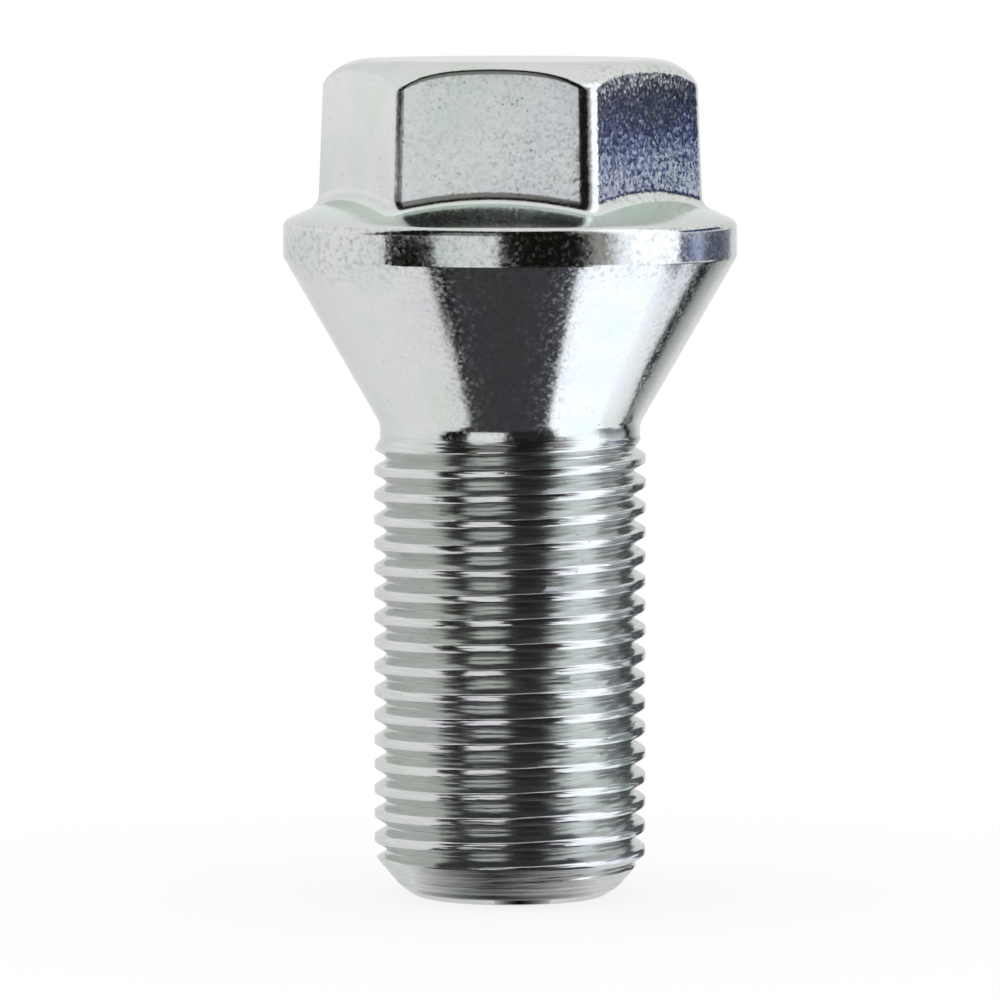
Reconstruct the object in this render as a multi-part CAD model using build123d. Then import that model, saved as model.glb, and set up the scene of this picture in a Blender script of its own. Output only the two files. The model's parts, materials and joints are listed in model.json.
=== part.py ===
from build123d import *
from math import cos, radians, tan
import os

# A wheel bolt, forged and turned in one piece: shank, neck, seat cone, collar and hexagon head.
# Millimetres. The flat of the tip lies on z = 0, the axis is Z and the head is at the top.
# One flat of the hexagon faces -Y.

# Shank, for a right-hand M14 x 1.25 thread. The thread is fine, so the shank is plain at its crests.
thread_crest_d = 13.8
thread_end_z = 22.7
runout_angle = 30.0
tip_flat_d = 10.4
tip_chamfer_angle = 45.0

# Neck, left at the diameter that the thread is rolled from
neck_d = 13.2
neck_length = 0.8
neck_fillet = 1.2

# Seat cone, and the collar that it runs out to
seat_angle = 60.0
collar_d = 23.0
collar_height = 1.8
collar_low_fillet = 1.0
collar_top_chamfer = 0.2
collar_slope_angle = 24.0

# Hexagon head, drafted for forging, with a domed crown. The size across flats is at half its height.
hex_flats = 17.0
hex_draft_angle = 2.0
hex_corner_fillet = 1.15
head_height = 8.2
crown_radius = 2.85
base_fillet = 0.85

# Radii and levels that follow from these
thread_r = thread_crest_d / 2
tip_r = tip_flat_d / 2
neck_r = neck_d / 2
collar_r = collar_d / 2
hex_foot_flats = hex_flats + head_height * tan(radians(hex_draft_angle))
hex_corner_r = hex_foot_flats / 2 / cos(radians(30))
tip_chamfer_top = (thread_r - tip_r) / tan(radians(tip_chamfer_angle))
runout_top = thread_end_z + (thread_r - neck_r) / tan(radians(runout_angle))
seat_low = runout_top + neck_length
collar_low = seat_low + (collar_r - neck_r) / tan(radians(seat_angle / 2))
collar_top = collar_low + collar_height
collar_rise = tan(radians(collar_slope_angle))
head_top = collar_top + head_height


def revolved(points, radii):
    """Turn a closed outline of (radius, height) points about Z, with a fillet radius at each point."""
    outline = FilletPolyline(*points, radius=radii, close=True)
    return revolve(Plane.YZ * make_face(outline), Axis.Z)


def turned_blank():
    """Shank, neck, seat cone and collar, up to a sloping top that ends inside the hexagon."""
    slope_end_r = hex_flats / 4
    slope_end_z = collar_top + (collar_r - slope_end_r) * collar_rise
    outline = {
        (0, 0): 0,
        (tip_r, 0): 0,
        (thread_r, tip_chamfer_top): 0,
        (thread_r, thread_end_z): 0,
        (neck_r, runout_top): 0,
        (neck_r, seat_low): neck_fillet,
        (collar_r, collar_low): collar_low_fillet,
        (collar_r, collar_top - collar_top_chamfer): 0,
        (collar_r - collar_top_chamfer, collar_top + collar_top_chamfer * collar_rise): 0,
        (slope_end_r, slope_end_z): 0,
        (0, slope_end_z): 0,
    }
    return revolved(outline.keys(), outline.values())


def hexagon_head():
    """Drafted hexagon with rounded corners, cut by the dome that arches the top of each flat."""
    section = RegularPolygon(hex_foot_flats / 2, 6, major_radius=False)
    section = fillet(section.vertices(), hex_corner_fillet)
    prism = extrude(Pos(0, 0, collar_top) * section, head_height, taper=hex_draft_angle)
    dome_outline = {
        (0, collar_top): 0,
        (hex_corner_r, collar_top): 0,
        (hex_corner_r, head_top): crown_radius,
        (0, head_top): 0,
    }
    dome = revolved(dome_outline.keys(), dome_outline.values())
    return prism & dome


def wheel_bolt():
    """The blank and the head as one solid, with a fillet where the hexagon stands on the collar."""
    blank = turned_blank()
    head = hexagon_head()
    bolt = blank + head
    return fillet(new_edges(blank, head, combined=bolt), base_fillet)


os.makedirs("parts", exist_ok=True)
export_step(wheel_bolt(), "parts/wheel_bolt.step")
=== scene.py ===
import json
from math import atan, atan2, ceil, cos, degrees, pi, radians, sin, sqrt, tan

import bmesh
import bpy
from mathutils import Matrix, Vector


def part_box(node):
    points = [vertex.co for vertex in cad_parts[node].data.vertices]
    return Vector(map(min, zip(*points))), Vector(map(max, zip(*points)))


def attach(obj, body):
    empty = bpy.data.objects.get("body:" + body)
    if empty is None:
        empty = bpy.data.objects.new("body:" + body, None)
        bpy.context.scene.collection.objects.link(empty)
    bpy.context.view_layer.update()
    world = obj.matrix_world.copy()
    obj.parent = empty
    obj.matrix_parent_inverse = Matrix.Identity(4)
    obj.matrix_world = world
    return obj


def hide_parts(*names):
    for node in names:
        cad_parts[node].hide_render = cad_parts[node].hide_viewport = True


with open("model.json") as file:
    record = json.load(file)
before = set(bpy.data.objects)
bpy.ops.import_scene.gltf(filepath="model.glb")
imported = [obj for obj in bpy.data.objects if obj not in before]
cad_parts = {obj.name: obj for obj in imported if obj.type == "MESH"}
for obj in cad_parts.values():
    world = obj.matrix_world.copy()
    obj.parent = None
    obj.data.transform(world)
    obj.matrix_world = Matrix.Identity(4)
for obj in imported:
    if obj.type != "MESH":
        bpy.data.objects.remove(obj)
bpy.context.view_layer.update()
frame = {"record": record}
mm = 0.001  # sizes below are in millimetres, meshes in metres
sewnWithin = 0.001 * mm  # points closer than this become one
mounts = {mount["name"]: mount for mount in frame["record"]["mounts"]}
boxLow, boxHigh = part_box("wheel_bolt")
print("frame loaded, bolt", [round(side / mm, 2) for side in boxHigh - boxLow], "mm")


# Small helpers, and short names for the kinds of node that are used most

maths = "ShaderNodeMath"
vectorMaths = "ShaderNodeVectorMath"
mapRange = "ShaderNodeMapRange"  # inputs 1 and 2 are the range that comes in, 3 and 4 the one that goes out
mix = "ShaderNodeMix"  # inputs 2 and 3 are numbers to mix, 6 and 7 colours


def addNode(tree, kind, inputs=None, **settings):
    node = tree.nodes.new(kind)
    for key, value in settings.items():
        setattr(node, key, value)
    for key, value in (inputs or {}).items():
        if isinstance(value, bpy.types.Node):
            value = value.outputs[0]
        if isinstance(value, bpy.types.NodeSocket):
            tree.links.new(value, node.inputs[key])
        else:
            node.inputs[key].default_value = value
    return node


def linearColour(hexText, otherText="#000000", share=0.0):
    pairs = [[int(text[i:i + 2], 16) / 255 for text in (hexText, otherText)] for i in (1, 3, 5)]
    channels = [one + (other - one) * share for one, other in pairs]
    return [c / 12.92 if c <= 0.04045 else ((c + 0.055) / 1.055) ** 2.4 for c in channels] + [1.0]


def addObject(name, data):
    piece = bpy.data.objects.new(name, data)
    bpy.context.scene.collection.objects.link(piece)
    return piece


def newMaterial(name):
    material = bpy.data.materials.new(name)
    material.use_nodes = True
    material.node_tree.nodes.clear()
    return material, material.node_tree


# Zinc plate. Thin electroplated zinc copies the steel under it, so the three ways that the bolt was
# shaped show through: forged skin is grainy and pitted, the turned seat is smoother and the rolled
# thread is burnished. The clear passivation leaves a faint green and lavender film.

zincPlate = {
    "colour": "#D7D9D7",
    "greenFilm": "#CDD4CE",
    "lavenderFilm": "#D3D4D8",
    "filmMm": 5.0,  # width of a patch of film
    "filmLevels": (0.32, 0.68),  # of the noise, where the film is all green and all lavender
    "pitColour": "#9DA1A2",
    "pitWidest": 0.40,  # share of a cell
    "pitsFewest": 0.01,  # share of cells that hold a pit between clusters
    "clusterMm": 2.857,  # width of a cluster of pits
    "clusterLevels": (0.42, 0.66),  # of the noise, where a cluster starts and is full
    "spotColour": "#AAABA7",
    "spotMm": 0.30,
    "spotLevels": (0.48, 0.78),  # of the noise, where a spot starts and is full
    "dullGrainPower": 3.0,  # a higher power leaves fewer dull grains
    "edgeTint": "#ECECEC",  # at a glancing angle
}

# roughSpread dulls the dullest grains and hollowDulling the hollows; tilts are against a normal of length 1
# on the head, hollowColour is the thicker green film on the collar's slope and the fillet above it
forgedFinish = {"name": "zincPlateForged", "roughness": 0.15, "roughSpread": 0.08, "hollowDulling": 0.0,
                "grainMm": (0.14, 0.14, 0.14), "grainTilt": 0.005, "wornTilt": 0.05, "grainShade": 0.05,
                "waveMm": (1.8, 1.8, 1.8), "waveHeight": 0.012, "hollowColour": "#DEEEE4",
                "pitMm": 0.24, "pitShare": 0.40, "pitDepth": 0.004}
turnedFinish = {"name": "zincPlateTurned", "roughness": 0.12, "roughSpread": 0.15, "hollowDulling": 0.0,
                "grainMm": (0.15, 0.15, 0.15), "grainTilt": 0.007, "wornTilt": 0.006, "grainShade": 0.08,
                "waveMm": (2.4, 2.4, 1.2), "waveHeight": 0.006, "hollowColour": "#DEEEE4",
                "pitMm": 0.26, "pitShare": 0.15, "pitDepth": 0.003}
# the rolling die's lines follow the thread, so grains and waves are long round the bolt and short along it
# here hollowColour is a grey a little darker than the plate, painted shade in the thread's grooves
rolledFinish = {"name": "zincPlateRolled", "roughness": 0.17, "roughSpread": 0.04, "hollowDulling": 0.05,
                "grainMm": (1.5, 1.5, 0.09), "grainTilt": 0.05, "wornTilt": 0.0, "grainShade": 0.22,
                "waveMm": (1.6, 1.6, 0.10), "waveHeight": 0.012, "hollowColour": "#D4D7D3",
                "pitMm": 0.3, "pitShare": 0.10, "pitDepth": 0.003}


def filmAndHollowColour(tree, inMm, hollow, finish):
    # broad patches that drift from green through neutral to lavender, and the hollows' own colour: thicker
    # film on the head's slope and fillet, painted shade in the thread's grooves
    patches = addNode(tree, "ShaderNodeTexNoise", {0: inMm, "Scale": 1 / zincPlate["filmMm"], "Detail": 3.0})
    ramp = addNode(tree, "ShaderNodeValToRGB", {0: patches})
    stops = ramp.color_ramp.elements
    stops[0].position, stops[1].position = zincPlate["filmLevels"]
    stops[0].color = linearColour(zincPlate["greenFilm"])
    stops[1].color = linearColour(zincPlate["lavenderFilm"])
    stops.new(0.5).color = linearColour(zincPlate["colour"])
    inputs = {0: hollow, 6: ramp, 7: linearColour(finish["hollowColour"])}
    return addNode(tree, mix, inputs, data_type="RGBA").outputs[2]


def pitMask(tree, inMm, finish):
    # a share of the cells of a jittered grid hold a small pit, and they come in clusters
    low, high = zincPlate["clusterLevels"]
    scale = 1 / zincPlate["clusterMm"]
    clusters = addNode(tree, "ShaderNodeTexNoise", {0: inMm, "Scale": scale, "Detail": 1.0})
    share = addNode(tree, mapRange, {0: clusters, 1: low, 2: high, 3: zincPlate["pitsFewest"],
                                     4: finish["pitShare"]})
    cells = addNode(tree, "ShaderNodeTexVoronoi", {0: inMm, "Scale": 1 / finish["pitMm"]})
    chance = addNode(tree, "ShaderNodeSeparateColor", {0: cells.outputs["Color"]})
    reach = addNode(tree, mapRange, {0: chance, 1: 0.0, 2: share, 3: zincPlate["pitWidest"], 4: 0.0})
    return addNode(tree, mapRange, {0: cells.outputs["Distance"], 1: reach, 2: 0.0, 3: 0.0, 4: 1.0},
                   interpolation_type="SMOOTHSTEP")


def wornMask(tree, inMm, worn):
    # dull spots, where knocks have worn the plate
    low, high = zincPlate["spotLevels"]
    spots = addNode(tree, "ShaderNodeTexNoise", {0: inMm, "Scale": 1 / zincPlate["spotMm"], "Detail": 3.0})
    spotted = addNode(tree, mapRange, {0: spots, 1: low, 2: high, 3: 0.0, 4: 1.0})
    return addNode(tree, maths, {0: spotted, 1: worn}, operation="MULTIPLY")


def steelNormal(tree, inMm, pits, finish):
    # the slight waves of the steel under the plate, and the pits
    waveScale = [1 / size for size in finish["waveMm"]]
    inWaves = addNode(tree, "ShaderNodeMapping", {0: inMm, "Scale": waveScale})
    waves = addNode(tree, "ShaderNodeTexNoise", {0: inWaves, "Scale": 1.0, "Detail": 1.0})
    wavy = addNode(tree, "ShaderNodeBump", {"Distance": finish["waveHeight"] * mm, "Height": waves})
    return addNode(tree, "ShaderNodeBump", {"Distance": finish["pitDepth"] * mm, "Height": pits,
                                            "Normal": wavy}, invert=True)


def grainNormal(tree, grains, steel, worn, finish):
    # each grain tilts its own way, most of them little, and more where the skin is worn
    tilt = addNode(tree, vectorMaths, {0: grains.outputs["Color"], 1: (2, 2, 2), 2: (-1, -1, -1)},
                   operation="MULTIPLY_ADD")
    length = addNode(tree, vectorMaths, {0: tilt}, operation="LENGTH").outputs["Value"]
    most = addNode(tree, maths, {0: worn, 1: finish["wornTilt"], 2: finish["grainTilt"]},
                   operation="MULTIPLY_ADD")
    steep = addNode(tree, maths, {0: length, 1: most}, operation="MULTIPLY")
    tilt = addNode(tree, vectorMaths, {0: tilt, "Scale": steep}, operation="SCALE")
    normal = addNode(tree, vectorMaths, {0: steel, 1: tilt}, operation="ADD")
    return addNode(tree, vectorMaths, {0: normal}, operation="NORMALIZE")


def zincMaterial(finish):
    material, tree = newMaterial(finish["name"])
    coords = addNode(tree, "ShaderNodeTexCoord")
    inMm = addNode(tree, "ShaderNodeMapping", {0: coords.outputs["Object"], "Scale": (1 / mm,) * 3})
    hollow = addNode(tree, "ShaderNodeAttribute", attribute_name="hollow").outputs["Fac"]
    worn = addNode(tree, "ShaderNodeAttribute", attribute_name="worn").outputs["Fac"]
    pits = pitMask(tree, inMm, finish)
    # crystals of zinc, each with its own tilt, shine and shade; they are drawn coarser than real ones,
    # which would be too fine to show
    grainScale = [1 / size for size in finish["grainMm"]]
    inGrains = addNode(tree, "ShaderNodeMapping", {0: inMm, "Scale": grainScale})
    grains = addNode(tree, "ShaderNodeTexVoronoi", {0: inGrains, "Scale": 1.0})
    normal = grainNormal(tree, grains, steelNormal(tree, inMm, pits, finish), worn, finish)
    chance = addNode(tree, "ShaderNodeSeparateColor", {0: grains.outputs["Color"]}).outputs
    shade = addNode(tree, maths, {0: chance[2], 1: finish["grainShade"]}, operation="MULTIPLY")
    duller = addNode(tree, maths, {0: chance[1], 1: zincPlate["dullGrainPower"]}, operation="POWER")
    rough = addNode(tree, maths, {0: duller, 1: finish["roughSpread"], 2: finish["roughness"]},
                    operation="MULTIPLY_ADD")
    rough = addNode(tree, maths, {0: hollow, 1: finish["hollowDulling"], 2: rough}, operation="MULTIPLY_ADD")
    # the film's colour, with painted shade in the thread's grooves, darkened in pits, on worn spots and from
    # grain to grain
    colour = filmAndHollowColour(tree, inMm, hollow, finish)
    spots = wornMask(tree, inMm, worn)
    for mask, darkName in ((pits, "pitColour"), (spots, "spotColour"), (shade, "pitColour")):
        inputs = {0: mask, 6: colour, 7: linearColour(zincPlate[darkName])}
        colour = addNode(tree, mix, inputs, data_type="RGBA").outputs[2]
    edgeTint = linearColour(zincPlate["edgeTint"])
    shader = addNode(tree, "ShaderNodeBsdfPrincipled", {"Base Color": colour, "Metallic": 1.0,
                                                        "Roughness": rough, "Normal": normal,
                                                        "Specular Tint": edgeTint})
    addNode(tree, "ShaderNodeOutputMaterial", {0: shader})
    return material


forgedZinc = zincMaterial(forgedFinish)
turnedZinc = zincMaterial(turnedFinish)
rolledZinc = zincMaterial(rolledFinish)
print("zinc plate made in three finishes")


# Head, collar and seat: one grid of columns round the axis, each column a rounded path of (radius, height)

boltHead = {
    "acrossFlats": 17.0,  # at half the head's height
    "draft": 2.0,  # degrees
    "cornerRadius": 1.15,
    "headHeight": 8.2,  # above the collar's rim
    "crownRadius": 2.85,
    "crownEdge": 0.5,
    "baseFillet": 0.85,
    "collarHeight": 1.8,
    "collarSlope": 24.0,  # degrees
    "collarEdge": 0.5,
    "collarLowEdge": 0.3,
    "seatAngle": 60.0,  # degrees, both sides together
    "neckRadius": 6.6,
    "neckFillet": 1.2,
    "filmOnFillet": 0.5,  # share of the base fillet that the thicker film climbs
    "wornBelowRim": 1.5,  # how far down the seat the worn spots reach
    "wornFlats": {-30: (1.0, 1.2, 8.2), -90: (0.35, 1.6, 5.4)},  # degrees: share, from and to above the rim
    "wornWidth": 34.0,  # degrees to each side of the middle of a worn flat
    "wornSideFade": 8.0,  # degrees
    "wornTopFade": 0.5,
    "wornElsewhere": 0.06,
    "sharpAngle": 40.0,  # degrees, an edge that turns more than this isn't smoothed
    "edgeTries": 6,  # rounds in which the place of the crown's edge is found
    "columnsPerFlat": 16,
    "columnsPerCorner": 16,
}
# steps in each stretch of a column, from the neck to the top
pathSteps = {"neckFillet": 6, "seat": 12, "collarLowEdge": 8, "collarEdge": 6, "slope": 4, "baseFillet": 8,
             "flat": 6, "crownEdge": 6, "crown": 8, "top": 4}

columns = 6 * (boltHead["columnsPerFlat"] + boltHead["columnsPerCorner"])
firstColumn = -90 - 180 * boltHead["columnsPerFlat"] / columns  # degrees, centres a flat on -Y
halfSide = pi / 6  # half the angle that a side of the hexagon takes up

headTop = boxHigh.z / mm
collarTop = headTop - boltHead["headHeight"]
collarLow = collarTop - boltHead["collarHeight"]
collarRadius = boxHigh.x / mm
collarRise = tan(radians(boltHead["collarSlope"]))
seatLow = collarLow - (collarRadius - boltHead["neckRadius"]) / tan(radians(boltHead["seatAngle"] / 2))
threadMount = mounts["thread"]
crestRadius = threadMount["dims"]["r_mm"]
threadLow = threadMount["pos_m"][2] / mm - threadMount["dims"]["length_mm"] / 2
threadHigh = threadMount["pos_m"][2] / mm + threadMount["dims"]["length_mm"] / 2
shankTop = (threadHigh + 2 * seatLow) / 3  # where shank and head are sewn together
headMiddle = (collarTop + headTop) / 2


def spaced(start, end, steps):
    return [tuple(a + (b - a) * i / steps for a, b in zip(start, end)) for i in range(1, steps + 1)]


def arc(centre, radius, fromAngle, toAngle, steps):
    angles = [fromAngle + (toAngle - fromAngle) * i / steps for i in range(steps + 1)]
    return [(centre[0] + radius * cos(a), centre[1] + radius * sin(a)) for a in angles]


def roundedCorner(before, corner, after, name):
    radius = boltHead[name]
    towards = [(Vector(point) - Vector(corner)).normalized() for point in (before, after)]
    halfAngle = towards[0].angle(towards[1]) / 2
    centre = Vector(corner) + (towards[0] + towards[1]).normalized() * radius / sin(halfAngle)
    ends = [Vector(corner) + way * radius / tan(halfAngle) - centre for way in towards]
    start = atan2(ends[0].y, ends[0].x)
    turn = (atan2(ends[1].y, ends[1].x) - start + pi) % (2 * pi) - pi
    return arc(centre, radius, start, start + turn, pathSteps[name])


def hexApothem(height):
    return boltHead["acrossFlats"] / 2 - (height - headMiddle) * tan(radians(boltHead["draft"]))


def hexColumns():
    apothem = hexApothem(headMiddle)
    corner = boltHead["cornerRadius"]
    flatHalf = (apothem - corner) * tan(halfSide)
    cornerAt = (apothem - corner) / cos(halfSide)
    angles = []
    for side in range(6):
        facing = radians(-90 + 60 * side)
        for i in range(boltHead["columnsPerFlat"]):
            along = flatHalf * (2 * i / boltHead["columnsPerFlat"] - 1)
            angles.append(facing + atan(along / apothem))
        for i in range(boltHead["columnsPerCorner"]):
            turned = radians(60 * i / boltHead["columnsPerCorner"] - 30)
            angles.append(facing + halfSide + atan2(corner * sin(turned), cornerAt + corner * cos(turned)))
    return angles


def hexRadius(angle, height):
    apothem = hexApothem(height)
    corner = boltHead["cornerRadius"]
    fromFlat = abs((angle + pi / 2 + halfSide) % (2 * halfSide) - halfSide)
    if tan(fromFlat) * apothem <= (apothem - corner) * tan(halfSide):
        return apothem / cos(fromFlat)
    fromCorner = halfSide - fromFlat
    cornerAt = (apothem - corner) / cos(halfSide)
    return cornerAt * cos(fromCorner) + sqrt(corner ** 2 - (cornerAt * sin(fromCorner)) ** 2)


def turnedPath():
    neck = (boltHead["neckRadius"], shankTop)
    seatFoot = (boltHead["neckRadius"], seatLow)
    seatRim = (collarRadius, collarLow)
    rim = (collarRadius, collarTop)
    inward = (collarRadius - 1, collarTop + collarRise)
    path = [neck] + roundedCorner(neck, seatFoot, seatRim, "neckFillet")
    lowEdge = roundedCorner(seatFoot, seatRim, rim, "collarLowEdge")
    path += spaced(path[-1], lowEdge[0], pathSteps["seat"])[:-1] + lowEdge
    return path + roundedCorner(seatRim, rim, inward, "collarEdge")


def headPath(angle, start):
    low, high = hexRadius(angle, collarTop), hexRadius(angle, headTop)
    lean = (high - low) / boltHead["headHeight"]
    footRise = (collarRadius - low) * collarRise / (1 + lean * collarRise)
    foot = (low + lean * footRise, collarTop + footRise)
    path = roundedCorner(start, foot, (high, headTop), "baseFillet")
    path = spaced(start, path[0], pathSteps["slope"])[:-1] + path
    # the crown is an arc, and a smaller arc rounds the edge where it meets the flat
    crown, edge = boltHead["crownRadius"], boltHead["crownEdge"]
    crownCentre = (hexApothem(collarTop) / cos(halfSide) - crown, headTop - crown)
    edgeHeight = headTop - crown
    for _ in range(boltHead["edgeTries"]):  # the wall leans, so the edge's centre is found step by step
        edgeRadius = low + lean * (edgeHeight - collarTop) - edge
        edgeHeight = crownCentre[1] + sqrt((crown - edge) ** 2 - (edgeRadius - crownCentre[0]) ** 2)
    meeting = atan2(edgeHeight - crownCentre[1], edgeRadius - crownCentre[0])
    edgeArc = arc((edgeRadius, edgeHeight), edge, 0, meeting, pathSteps["crownEdge"])
    path += spaced(path[-1], edgeArc[0], pathSteps["flat"])[:-1] + edgeArc
    path += arc(crownCentre, crown, meeting, pi / 2, pathSteps["crown"])[1:]
    return path + spaced(path[-1], (0, headTop), pathSteps["top"])[:-1]


def filmAt(row):  # counted from the collar's top edge
    slope = pathSteps["slope"]
    if row <= slope:
        return min(1, max(0, row / (slope - 1)))
    return max(0, 1 - (row - slope) / (pathSteps["baseFillet"] * boltHead["filmOnFillet"]))


def wearAt(angle, height):
    wear = boltHead["wornElsewhere"]
    if height <= collarTop:
        return max(wear, 1 - max(0, collarLow - height) / boltHead["wornBelowRim"])
    for facing, (share, low, high) in boltHead["wornFlats"].items():
        fromMiddle = abs((degrees(angle) - facing + 180) % 360 - 180)
        inside = (boltHead["wornWidth"] - fromMiddle) / boltHead["wornSideFade"]
        below = (collarTop + high - height) / boltHead["wornTopFade"]
        if height > collarTop + low:
            wear = max(wear, share * min(1, inside, below))
    return wear


def forgedHead():
    turned = turnedPath()
    evenAngles = [radians(firstColumn + 360 * i / columns) for i in range(columns)]
    hexAngles = hexColumns()
    paths = [turned + headPath(angle, turned[-1]) for angle in hexAngles]
    rows = len(paths[0])
    crossing = len(turned) - 1  # the row of the collar's top edge
    made = bmesh.new()
    for name in ("hollow", "worn"):
        made.verts.layers.float.new(name)
    hollow, worn = made.verts.layers.float["hollow"], made.verts.layers.float["worn"]
    grid = []
    for row in range(rows):
        share = min(1, max(0, (paths[0][row][1] - seatLow) / (collarLow - seatLow)))
        ring = []
        for even, hexed, path in zip(evenAngles, hexAngles, paths):
            angle = even + (hexed - even) * share  # columns drift from even to the hexagon's up the cone
            radius, height = path[row]
            vertex = made.verts.new((radius * cos(angle) * mm, radius * sin(angle) * mm, height * mm))
            vertex[hollow] = filmAt(row - crossing)
            vertex[worn] = wearAt(angle, height)
            ring.append(vertex)
        grid.append(ring)
    for row in range(rows - 1):
        for i in range(columns):
            k = (i + 1) % columns
            face = made.faces.new((grid[row][i], grid[row][k], grid[row + 1][k], grid[row + 1][i]))
            face.material_index = 0 if row >= crossing else 1
    centre = made.verts.new((0, 0, headTop * mm))
    for i in range(columns):
        made.faces.new((grid[-1][i], grid[-1][(i + 1) % columns], centre))
    return made


print("head has", columns, "columns")


# Thread: a grid whose rows follow a right-hand helix, bent round the shank by Geometry Nodes

rolledThread = {
    "pitch": 1.25,
    "rootRadius": 6.28,
    "rowsPerPitch": 20,
    "turnedBy": -0.5,  # share of a turn, sets where a crest meets the front
    "runout": 1.0,
    "runoutPast": 0.8,  # how far the fading thread runs on past its full end
    "tipRadius": 5.2,
    "tipRounding": 0.7,  # height of the rounding at the very end
    "tipDrop": 0.35,  # and how much it takes off the radius
    "chamferPast": 0.3,  # how far the chamfer runs on past the thread's full start
    "tipBlend": 0.08,
    "ringPitch": 0.3,  # rings left by the tool on the tip's chamfer
    "ringHeight": 0.010,
    "ringsSlower": 0.62,  # a second set of rings has this share of the first set's count
}
# the form of one side of a thread, from the middle of the crest (0) to the middle of the root (1)
threadForm = [(0.0, 1.0), (0.26, 1.0), (0.34, 0.94), (0.82, 0.10), (1.0, 0.0)]


def threadInputs(tree):
    sizes = {
        "Pitch": rolledThread["pitch"] * mm,
        "Crest Radius": crestRadius * mm,
        "Root Radius": rolledThread["rootRadius"] * mm,
        "Neck Radius": boltHead["neckRadius"] * mm,
        "Tip Radius": rolledThread["tipRadius"] * mm,
        "Tip Rounding": rolledThread["tipRounding"] * mm,
        "Tip Drop": rolledThread["tipDrop"] * mm,
        "Chamfer Top": (threadLow + rolledThread["chamferPast"]) * mm,
        "Thread End": (threadHigh + rolledThread["runoutPast"]) * mm,
        "Runout": rolledThread["runout"] * mm,
        "Shank Top": shankTop * mm,
        "Tip Blend": rolledThread["tipBlend"] * mm,
        "Ring Pitch": rolledThread["ringPitch"] * mm,
        "Ring Height": rolledThread["ringHeight"] * mm,
        "Rings Slower": rolledThread["ringsSlower"],
        "First Angle": radians(firstColumn),
        "Turned By": rolledThread["turnedBy"],
        "Turns": float(ceil(shankTop / rolledThread["pitch"]) + 1),
    }
    counts = {"Columns": columns, "Rows Per Pitch": rolledThread["rowsPerPitch"]}
    values = {}
    for kind, named in (("NodeSocketFloat", sizes), ("NodeSocketInt", counts)):
        for name, value in named.items():
            socket = tree.interface.new_socket(name, in_out="INPUT", socket_type=kind)
            values[socket.identifier] = value
    return values


def threadRadius(tree, given, height, turn):
    # the thread's form gives the radius, from crest to root and back
    pitches = addNode(tree, maths, {0: height, 1: given["Pitch"]}, operation="DIVIDE")
    phase = addNode(tree, maths, {0: pitches, 1: turn}, operation="SUBTRACT")
    phase = addNode(tree, maths, {0: phase, 1: given["Turned By"]}, operation="SUBTRACT")
    half = addNode(tree, maths, {0: phase, 1: 0.5}, operation="PINGPONG")
    side = addNode(tree, maths, {0: half, 1: 2.0}, operation="MULTIPLY")
    form = addNode(tree, "ShaderNodeFloatCurve", {"Value": side})
    curve = form.mapping.curves[0]
    curve.points[0].location, curve.points[1].location = threadForm[0], threadForm[-1]
    for point in threadForm[1:-1]:
        curve.points.new(*point)
    for point in curve.points:
        point.handle_type = "VECTOR"
    form.mapping.update()
    groove = addNode(tree, maths, {0: 1.0, 1: form}, operation="SUBTRACT")
    depth = addNode(tree, maths, {0: given["Crest Radius"], 1: given["Root Radius"]}, operation="SUBTRACT")
    sunk = addNode(tree, maths, {0: groove, 1: depth}, operation="MULTIPLY")
    return addNode(tree, maths, {0: given["Crest Radius"], 1: sunk}, operation="SUBTRACT"), groove


def chamferRadius(tree, given, height):
    # the tip's chamfer bears the fine rings of the tool that turned it, and its end is rounded
    cone = addNode(tree, mapRange, {0: height, 1: 0.0, 2: given["Chamfer Top"], 3: given["Tip Radius"],
                                    4: given["Crest Radius"]}, clamp=False)
    rings = addNode(tree, maths, {0: height, 1: given["Ring Pitch"]}, operation="DIVIDE")
    rings = addNode(tree, maths, {0: rings, 1: 2 * pi}, operation="MULTIPLY")
    slower = addNode(tree, maths, {0: rings, 1: given["Rings Slower"]}, operation="MULTIPLY")
    waves = [addNode(tree, maths, {0: wave}, operation="SINE") for wave in (rings, slower)]
    rings = addNode(tree, maths, {0: waves[0], 1: waves[1]}, operation="ADD")
    ringed = addNode(tree, maths, {0: rings, 1: given["Ring Height"], 2: cone}, operation="MULTIPLY_ADD")
    drop = addNode(tree, mapRange, {0: height, 1: 0.0, 2: given["Tip Rounding"], 3: 1.0, 4: 0.0})
    drop = addNode(tree, maths, {0: drop, 1: 2.0}, operation="POWER")
    drop = addNode(tree, maths, {0: drop, 1: given["Tip Drop"]}, operation="MULTIPLY")
    return addNode(tree, maths, {0: ringed, 1: drop}, operation="SUBTRACT")


def tipEnd(tree, given):
    radius = addNode(tree, maths, {0: given["Tip Radius"], 1: given["Tip Drop"]}, operation="SUBTRACT")
    disc = addNode(tree, "GeometryNodeMeshCircle", {"Vertices": given["Columns"], "Radius": radius},
                   fill_type="TRIANGLE_FAN")
    spin = addNode(tree, "ShaderNodeCombineXYZ", {2: given["First Angle"]})
    disc = addNode(tree, "GeometryNodeTransform", {0: disc, "Rotation": spin})
    return addNode(tree, "GeometryNodeFlipFaces", {0: disc})


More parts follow.
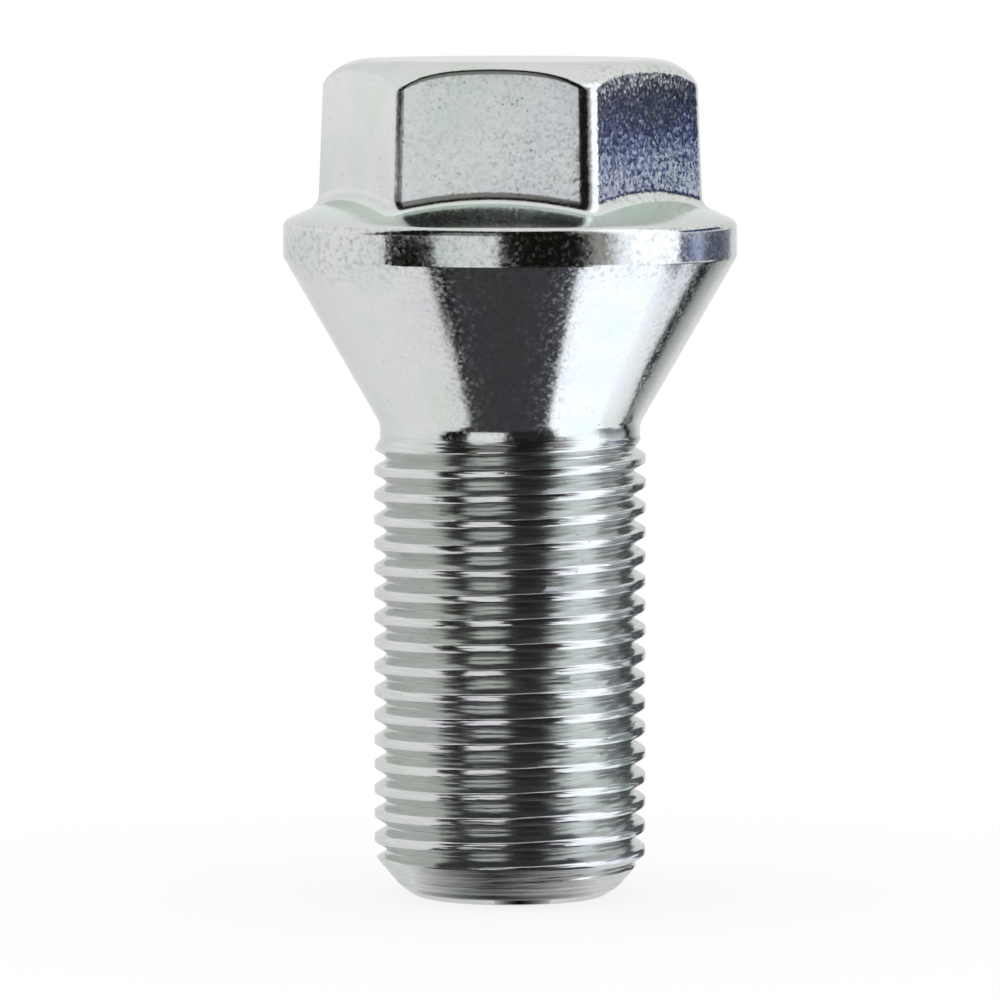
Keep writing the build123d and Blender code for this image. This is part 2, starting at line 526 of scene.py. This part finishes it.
def threadTree():
    tree = bpy.data.node_groups.new("rolledThread", "GeometryNodeTree")
    values = threadInputs(tree)
    tree.interface.new_socket("Shank", in_out="OUTPUT", socket_type="NodeSocketGeometry")
    given = addNode(tree, "NodeGroupInput").outputs

    # one grid, a column for each angle and a row for each step along the thread's form
    across = addNode(tree, maths, {0: given["Columns"], 1: 1.0}, operation="ADD")
    rows = addNode(tree, maths, {0: given["Turns"], 1: given["Rows Per Pitch"], 2: 1.0},
                   operation="MULTIPLY_ADD")
    grid = addNode(tree, "GeometryNodeMeshGrid", {"Size X": 1.0, "Size Y": 1.0, "Vertices X": across,
                                                  "Vertices Y": rows})
    position = addNode(tree, "GeometryNodeInputPosition")
    place = addNode(tree, "ShaderNodeSeparateXYZ", {0: position}).outputs
    turn = addNode(tree, maths, {0: place[0], 1: 0.5}, operation="ADD")
    along = addNode(tree, maths, {0: place[1], 1: 0.5}, operation="ADD")
    angle = addNode(tree, maths, {0: turn, 1: 2 * pi, 2: given["First Angle"]}, operation="MULTIPLY_ADD")

    # each row climbs one pitch a turn, and is held between the tip and the neck
    climbed = addNode(tree, maths, {0: along, 1: given["Turns"], 2: turn}, operation="MULTIPLY_ADD")
    climbed = addNode(tree, maths, {0: climbed, 1: 1.0}, operation="SUBTRACT")
    climbed = addNode(tree, maths, {0: climbed, 1: given["Pitch"]}, operation="MULTIPLY")
    height = addNode(tree, "ShaderNodeClamp", {0: climbed, 1: 0.0, 2: given["Shank Top"]})

    # the chamfer cuts the thread off at the tip, and at the top it fades into the neck
    radius, groove = threadRadius(tree, given, height, turn)
    chamfer = chamferRadius(tree, given, height)
    radius = addNode(tree, maths, {0: radius, 1: chamfer, 2: given["Tip Blend"]}, operation="SMOOTH_MIN")
    fadeStart = addNode(tree, maths, {0: given["Thread End"], 1: given["Runout"]}, operation="SUBTRACT")
    fade = addNode(tree, mapRange, {0: height, 1: fadeStart, 2: given["Thread End"], 3: 0.0, 4: 1.0},
                   interpolation_type="SMOOTHSTEP")
    radius = addNode(tree, mix, {0: fade, 2: radius, 3: given["Neck Radius"]})
    hollow = addNode(tree, mix, {0: fade, 2: groove, 3: 0.0})
    clear = addNode(tree, mapRange, {0: height, 1: 0.0, 2: given["Chamfer Top"]})
    hollow = addNode(tree, maths, {0: hollow, 1: clear}, operation="MULTIPLY")

    # the grid is bent round the axis, the end closed, and all is sewn where points meet
    cosine, sine = [addNode(tree, maths, {0: angle}, operation=kind) for kind in ("COSINE", "SINE")]
    flat = [addNode(tree, maths, {0: radius, 1: part}, operation="MULTIPLY") for part in (cosine, sine)]
    bent = addNode(tree, "ShaderNodeCombineXYZ", {0: flat[0], 1: flat[1], 2: height})
    shank = addNode(tree, "GeometryNodeStoreNamedAttribute", {0: grid, "Name": "hollow", "Value": hollow},
                    domain="POINT")
    shank = addNode(tree, "GeometryNodeSetPosition", {0: shank, "Position": bent})
    both = addNode(tree, "GeometryNodeJoinGeometry")
    for part in (shank, tipEnd(tree, given)):
        tree.links.new(part.outputs[0], both.inputs[0])
    sewn = addNode(tree, "GeometryNodeMergeByDistance", {0: both, "Distance": sewnWithin})
    whole = addNode(tree, "GeometryNodeRealizeInstances", {0: sewn})
    coated = addNode(tree, "GeometryNodeSetMaterial", {0: whole, "Material": rolledZinc})
    addNode(tree, "NodeGroupOutput", {0: coated})
    return tree, values


def threadedShank():
    tree, values = threadTree()
    carrier = addObject("threadCarrier", bpy.data.meshes.new("threadCarrier"))
    modifier = carrier.modifiers.new("rolledThread", "NODES")
    modifier.node_group = tree
    for identifier, value in values.items():
        modifier[identifier] = value
    evaluated = carrier.evaluated_get(bpy.context.evaluated_depsgraph_get())
    mesh = bpy.data.meshes.new_from_object(evaluated)
    carrier.modifiers.remove(modifier)
    bpy.data.objects.remove(carrier)
    return mesh


def wheelBolt():
    shank = threadedShank()
    print("thread has", len(shank.polygons), "faces")
    whole = forgedHead()
    headFaces = len(whole.faces)
    whole.from_mesh(shank)
    whole.faces.ensure_lookup_table()
    for face in whole.faces[headFaces:]:
        face.material_index = 2
    bmesh.ops.remove_doubles(whole, verts=whole.verts, dist=sewnWithin)
    bmesh.ops.recalc_face_normals(whole, faces=whole.faces)
    openEdges = sum(1 for edge in whole.edges if not edge.is_manifold)
    volume = whole.calc_volume(signed=True) / mm ** 3
    print("bolt has", len(whole.faces), "faces,", openEdges, "open edges, volume", round(volume), "mm3")
    mesh = bpy.data.meshes.new("wheelBolt")
    whole.to_mesh(mesh)
    whole.free()
    for material in (forgedZinc, turnedZinc, rolledZinc):
        mesh.materials.append(material)
    mesh.shade_smooth()
    mesh.set_sharp_from_angle(angle=radians(boltHead["sharpAngle"]))
    return addObject("dressedBolt", mesh)


bolt = wheelBolt()
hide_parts("wheel_bolt")
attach(bolt, "root")


# Stage: a pale floor, soft light from above and both sides, and the dark open side of a light tent,
# which is seen only as a reflection in the metal

photoCamera = {
    "distance": 390.0,
    "azimuth": 5.7,  # degrees
    "height": 50.8,
    "pitchDown": 4.5,  # degrees
    "pxPerMm": 19.74,  # at the bolt's axis
    "axisFromCentrePx": 10.0,
    "imagePx": 1000.0,
    "clip": (10.0, 10000.0),
}
studio = {
    "white": "#FFFFFF",
    "worldFill": 0.75,
    "floorColour": "#F2F3F2",
    "floorSize": 2400.0,
    "shadeFrom": 8.0,  # round the foot of the bolt the floor glows less, so that its shadow shows
    "shadeTo": 45.0,
    "shadeGlow": 0.82,
    "lampsAimAt": 20.0,  # above the floor
    "cardSteps": 24,
    "cardLift": 0.3,  # keeps the cards off the floor
}
softBoxes = {
    "topBox": {"place": (0, 50, 600), "size": (600, 600), "power": 0.9},
    "leftBox": {"place": (-500, -50, 250), "size": (400, 400), "power": 0.35},
    "rightBox": {"place": (450, -250, 200), "size": (400, 400), "power": 0.35},
}


def ground(*radii):
    return [(radius, 0) for radius in radii]


def wall(radius, *heights):
    return [(radius, height) for height in heights]


# what several cards share
openDark = "#15120E"
tableGrey = "#424246"
tableDark = "#080808"
daylight = "#F4F9FF"
clothGrey = "#5A6074"
clothLight = "#C8D2F4"
backGreys = ["#949BA3", "#949BA3", "#C4CAD0"]
lineDark = "#050505"
lineGrey = "#A8ACAA"
nearWall = wall(45, 0, 20)
clothWall = wall(45, 27, 34.6)
lineWall = wall(45, 0, 27)
tipShade = {"path": [(4.5, -0.25), (5.4, -0.25)], "colours": ["#D0D0D0"], "lastColours": ["#080808"]}
tipRings = {"path": ground(5.2, 5.5, 5.8, 6.1, 6.4, 6.7, 7, 8),
            "colours": ["#FFFFFF", "#ECECEC", "#FFFFFF", "#E8E8E8", "#FFFFFF", "#ECECEC", "#FFFFFF"],
            "lastColours": ["#A4A4A4", "#181818", "#949494", "#101010", "#888888", "#181818", "#404040"]}

# azimuths are degrees to the right of the camera, as seen from the bolt; a path is a list of (radius,
# height) with a colour for each point, the last one repeated; lastColours are those at the second azimuth
tentCards = {
    # on the floor at the tip; the tipShade sheets are a painted shadow under its edge, seen in its chamfer
    "tipShadeLeft": {"azimuths": (-9, 5), **tipShade},
    "tipShadeRight": {"azimuths": (24, 5), **tipShade},
    "tipLeft": {"azimuths": (-62, -8), **tipRings},
    "tipRight": {"azimuths": (54, -8), **tipRings},
    # in front, low and near
    "leftNear": {"azimuths": (-58, -39), "path": nearWall, "colours": [openDark]},
    "panelNear": {"azimuths": (-34.5, -4), "path": nearWall, "colours": ["#FFFFFF"], "strength": 1.05},
    "rightNear": {"azimuths": (-4, 39), "path": nearWall, "colours": ["#262422"]},
    # the table in front
    "tableNear": {"azimuths": (-52, 50), "path": ground(8, 18), "colours": [tableGrey]},
    "tableInFront": {"azimuths": (-36, 34.5), "path": ground(18, 32, 46, 98),
                     "colours": [tableGrey, tableGrey, "#1C1A18", openDark]},
    "tableLeft": {"azimuths": (-40, -36), "path": ground(18, 21.6), "colours": [tableDark]},
    "tableLeftMid": {"azimuths": (-42.5, -36), "path": ground(21.6, 26.4), "colours": [tableDark]},
    "tableLeftFar": {"azimuths": (-46.5, -36), "path": ground(26.4, 98), "colours": [tableDark]},
    "tableRight": {"azimuths": (34.5, 39), "path": ground(18, 98), "colours": ["#1C1C1E"]},
    # the open side of the tent with a panel in its middle, and what stands to its left
    "openLeftLow": {"azimuths": (-63, -37), "path": ground(95, 160) + wall(160, 40), "colours": [openDark]},
    "openLeft": {"azimuths": (-70, -37), "path": wall(160, 46, 330), "colours": [openDark]},
    "leftGlow": {"azimuths": (-150, -92), "path": wall(60, 36.5, 40, 48), "strength": 1.1,
                 "colours": ["#F4F4F4", "#FFFFFF", "#FFFFFF"]},
    "rimLeft": {"azimuths": (-59, -35.5), "path": wall(60, 24, 36.8), "colours": [openDark]},
    "cornerLeft": {"azimuths": (-74, -48), "path": wall(60, 36.8, 39.3, 40.2, 43.5),
                   "colours": ["#B4B4B2", "#A0A09E", openDark, openDark]},
    "openRight": {"azimuths": (-5.4, 38), "path": ground(95, 160) + wall(160, 330), "colours": [openDark]},
    "openEdge": {"azimuths": (38, 50), "path": wall(160, 0, 330), "colours": ["#9E9A95"],
                 "lastColours": ["#A8A6A4"]},
    "openTop": {"azimuths": (-37, -5.4), "path": wall(160, 65, 150, 185, 330),
                "colours": ["#8C8C88", "#8C8C88", openDark, openDark]},
    "panel": {"azimuths": (-37, -5.4), "path": ground(105, 160) + wall(160, 65), "colours": ["#F6F9FB"]},
    # daylight on the right
    "windowSill": {"azimuths": (40, 93), "path": ground(14, 70, 160), "strength": 1.62,
                   "colours": [daylight, daylight, "#E8EEF4"]},
    "sillEnd": {"azimuths": (93, 117), "path": ground(14, 160), "strength": 1.5,
                "colours": [daylight, "#DDE3E9"], "lastColours": ["#DADDE0", "#CED1D4"]},
    "windowEdge": {"azimuths": (50, 64), "path": wall(160, 0, 340), "colours": ["#B0B4B8"],
                   "lastColours": [daylight], "strength": 1.8},
    "window": {"azimuths": (64, 92), "path": wall(160, 0, 340), "colours": [daylight], "strength": 1.8},
    # blue-grey cloth on the right, beside the head
    "clothTop": {"azimuths": (83, 119), "path": wall(36, 35.6, 36.4, 37.2, 38.2, 39.1, 42.4, 44.2),
                 "colours": ["#FFFFFF", "#D2DCF4", "#8496D0", "#424E88", "#1E2448", "#1E2236", "#D0D4E4"]},
    "clothEdge": {"azimuths": (84, 99), "path": clothWall, "colours": ["#2A3048"],
                  "lastColours": [clothLight]},
    "clothFold": {"azimuths": (99, 107), "path": clothWall, "colours": [clothLight],
                  "lastColours": [clothGrey]},
    "clothBack": {"azimuths": (107, 118), "path": clothWall, "colours": [clothGrey]},
    "clothEnd": {"azimuths": (118, 136), "path": clothWall, "colours": [clothGrey],
                 "lastColours": ["#A4A8AE"]},
    # behind, to the right of the shank and the seat
    "backSoft": {"azimuths": (80, 90), "path": wall(45, 1.5, 15, 21), "colours": ["#FFFFFF"],
                 "lastColours": backGreys},
    "backLow": {"azimuths": (90, 103), "path": wall(45, 1.5, 15, 21), "colours": backGreys},
    "backMid": {"azimuths": (103, 116), "path": wall(45, 8, 15, 21), "colours": backGreys},
    "backNear": {"azimuths": (92, 109), "path": wall(20, 0, 9), "colours": backGreys[:1]},
    "backTick": {"azimuths": (104, 124), "path": wall(12, 0, 20.5), "colours": ["#5C6064"]},
    "backLine": {"azimuths": (116, 121.5), "path": lineWall, "colours": [lineDark]},
    "backShade": {"azimuths": (121.5, 128), "path": lineWall, "colours": [lineDark],
                  "lastColours": [lineGrey]},
    "backFade": {"azimuths": (128, 146), "path": lineWall, "colours": [lineGrey],
                 "lastColours": ["#FFFFFF"]},
}


def seenBy(tree):
    # the rays by which the eye sees world and floor: plainly, in a mirror or through glass
    path = addNode(tree, "ShaderNodeLightPath").outputs
    seen = path["Is Camera Ray"]
    for ray in ("Is Glossy Ray", "Is Transmission Ray"):
        seen = addNode(tree, maths, {0: seen, 1: path[ray]}, operation="MAXIMUM")
    return seen


def whiteWorld():
    world = bpy.data.worlds.new("tent")
    world.use_nodes = True
    tree = world.node_tree
    tree.nodes.clear()
    white = linearColour(studio["white"])
    fill = addNode(tree, "ShaderNodeBackground", {0: white, 1: studio["worldFill"]})
    plain = addNode(tree, "ShaderNodeBackground", {0: white, 1: 1.0})
    mixed = addNode(tree, "ShaderNodeMixShader", {0: seenBy(tree), 1: fill, 2: plain})
    addNode(tree, "ShaderNodeOutputWorld", {0: mixed})
    bpy.context.scene.world = world


def paleFloor():
    material, tree = newMaterial("paleTable")
    matt = addNode(tree, "ShaderNodeBsdfDiffuse", {0: linearColour(studio["floorColour"])})
    lit = addNode(tree, "ShaderNodeEmission", {0: linearColour(studio["white"]), 1: 1.0})
    coords = addNode(tree, "ShaderNodeTexCoord")
    away = addNode(tree, vectorMaths, {0: coords.outputs["Object"]}, operation="LENGTH").outputs["Value"]
    near, far = studio["shadeFrom"] * mm, studio["shadeTo"] * mm
    glow = addNode(tree, mapRange, {0: away, 1: near, 2: far, 3: studio["shadeGlow"], 4: 1.0})
    share = addNode(tree, maths, {0: seenBy(tree), 1: glow}, operation="MULTIPLY")
    mixed = addNode(tree, "ShaderNodeMixShader", {0: share, 1: matt, 2: lit})
    addNode(tree, "ShaderNodeOutputMaterial", {0: mixed})
    mesh = bpy.data.meshes.new("floor")
    half = studio["floorSize"] / 2 * mm
    corners = [(-half, -half, 0), (half, -half, 0), (half, half, 0), (-half, half, 0)]
    mesh.from_pydata(corners, [], [(0, 1, 2, 3)])
    mesh.materials.append(material)
    addObject("floor", mesh)


def cardMesh(name, card):
    path = card["path"]
    first = card["colours"]
    last = card.get("lastColours", first)
    start, end = card["azimuths"]
    steps = studio["cardSteps"]
    points, glows, faces = [], [], []
    for i in range(steps + 1):
        along = i / steps
        turned = start + (end - start) * along
        azimuth = radians(photoCamera["azimuth"] + turned)
        for k, (radius, height) in enumerate(path):
            height += studio["cardLift"]
            points.append((radius * sin(azimuth) * mm, -radius * cos(azimuth) * mm, height * mm))
            glows.append(linearColour(first[min(k, len(first) - 1)], last[min(k, len(last) - 1)], along))
    for i in range(steps):
        for k in range(len(path) - 1):
            corner = i * len(path) + k
            faces.append((corner, corner + 1, corner + 1 + len(path), corner + len(path)))
    mesh = bpy.data.meshes.new(name)
    mesh.from_pydata(points, [], faces)
    layer = mesh.color_attributes.new("glow", "FLOAT_COLOR", "POINT")
    for k, glow in enumerate(glows):
        layer.data[k].color = glow
    return mesh


def sweptCard(name, card):
    material, tree = newMaterial(name)
    glow = addNode(tree, "ShaderNodeAttribute", attribute_name="glow")
    shine = addNode(tree, "ShaderNodeEmission", {0: glow, 1: card.get("strength", 1.0)})
    addNode(tree, "ShaderNodeOutputMaterial", {0: shine})
    piece = addObject(name, cardMesh(name, card))
    piece.data.materials.append(material)
    for ray in ("camera", "diffuse", "transmission", "volume_scatter", "shadow"):
        setattr(piece, "visible_" + ray, False)


def softBox(name, settings):
    lamp = bpy.data.lights.new(name, "AREA")
    lamp.shape = "RECTANGLE"
    lamp.size, lamp.size_y = [side * mm for side in settings["size"]]
    lamp.energy = settings["power"]
    box = addObject(name, lamp)
    place = Vector(settings["place"])
    aim = Vector((0, 0, studio["lampsAimAt"]))
    box.location = place * mm
    box.rotation_euler = (aim - place).to_track_quat("-Z", "Y").to_euler()
    box.visible_glossy = False  # the metal mirrors the white tent, not the lamps


def cameraLikePhoto():
    view = photoCamera
    azimuth = radians(view["azimuth"])
    place = Vector((sin(azimuth), -cos(azimuth), 0)) * view["distance"]
    place.z = view["height"]
    right = Vector((cos(azimuth), sin(azimuth), 0))
    aim = -right * view["axisFromCentrePx"] / view["pxPerMm"]
    aim.z = view["height"] - view["distance"] * tan(radians(view["pitchDown"]))
    data = bpy.data.cameras.new("photoCamera")
    data.lens = view["pxPerMm"] * view["distance"] * data.sensor_width / view["imagePx"]
    data.clip_start, data.clip_end = [reach * mm for reach in view["clip"]]
    camera = addObject("photoCamera", data)
    camera.location = place * mm
    camera.rotation_euler = (aim - place).to_track_quat("-Z", "Y").to_euler()
    bpy.context.scene.camera = camera


whiteWorld()
paleFloor()
for cardName, cardSettings in tentCards.items():
    sweptCard(cardName, cardSettings)
for boxName, boxSettings in softBoxes.items():
    softBox(boxName, boxSettings)
cameraLikePhoto()
bpy.context.scene.view_settings.view_transform = "Standard"
print("stage and camera set")
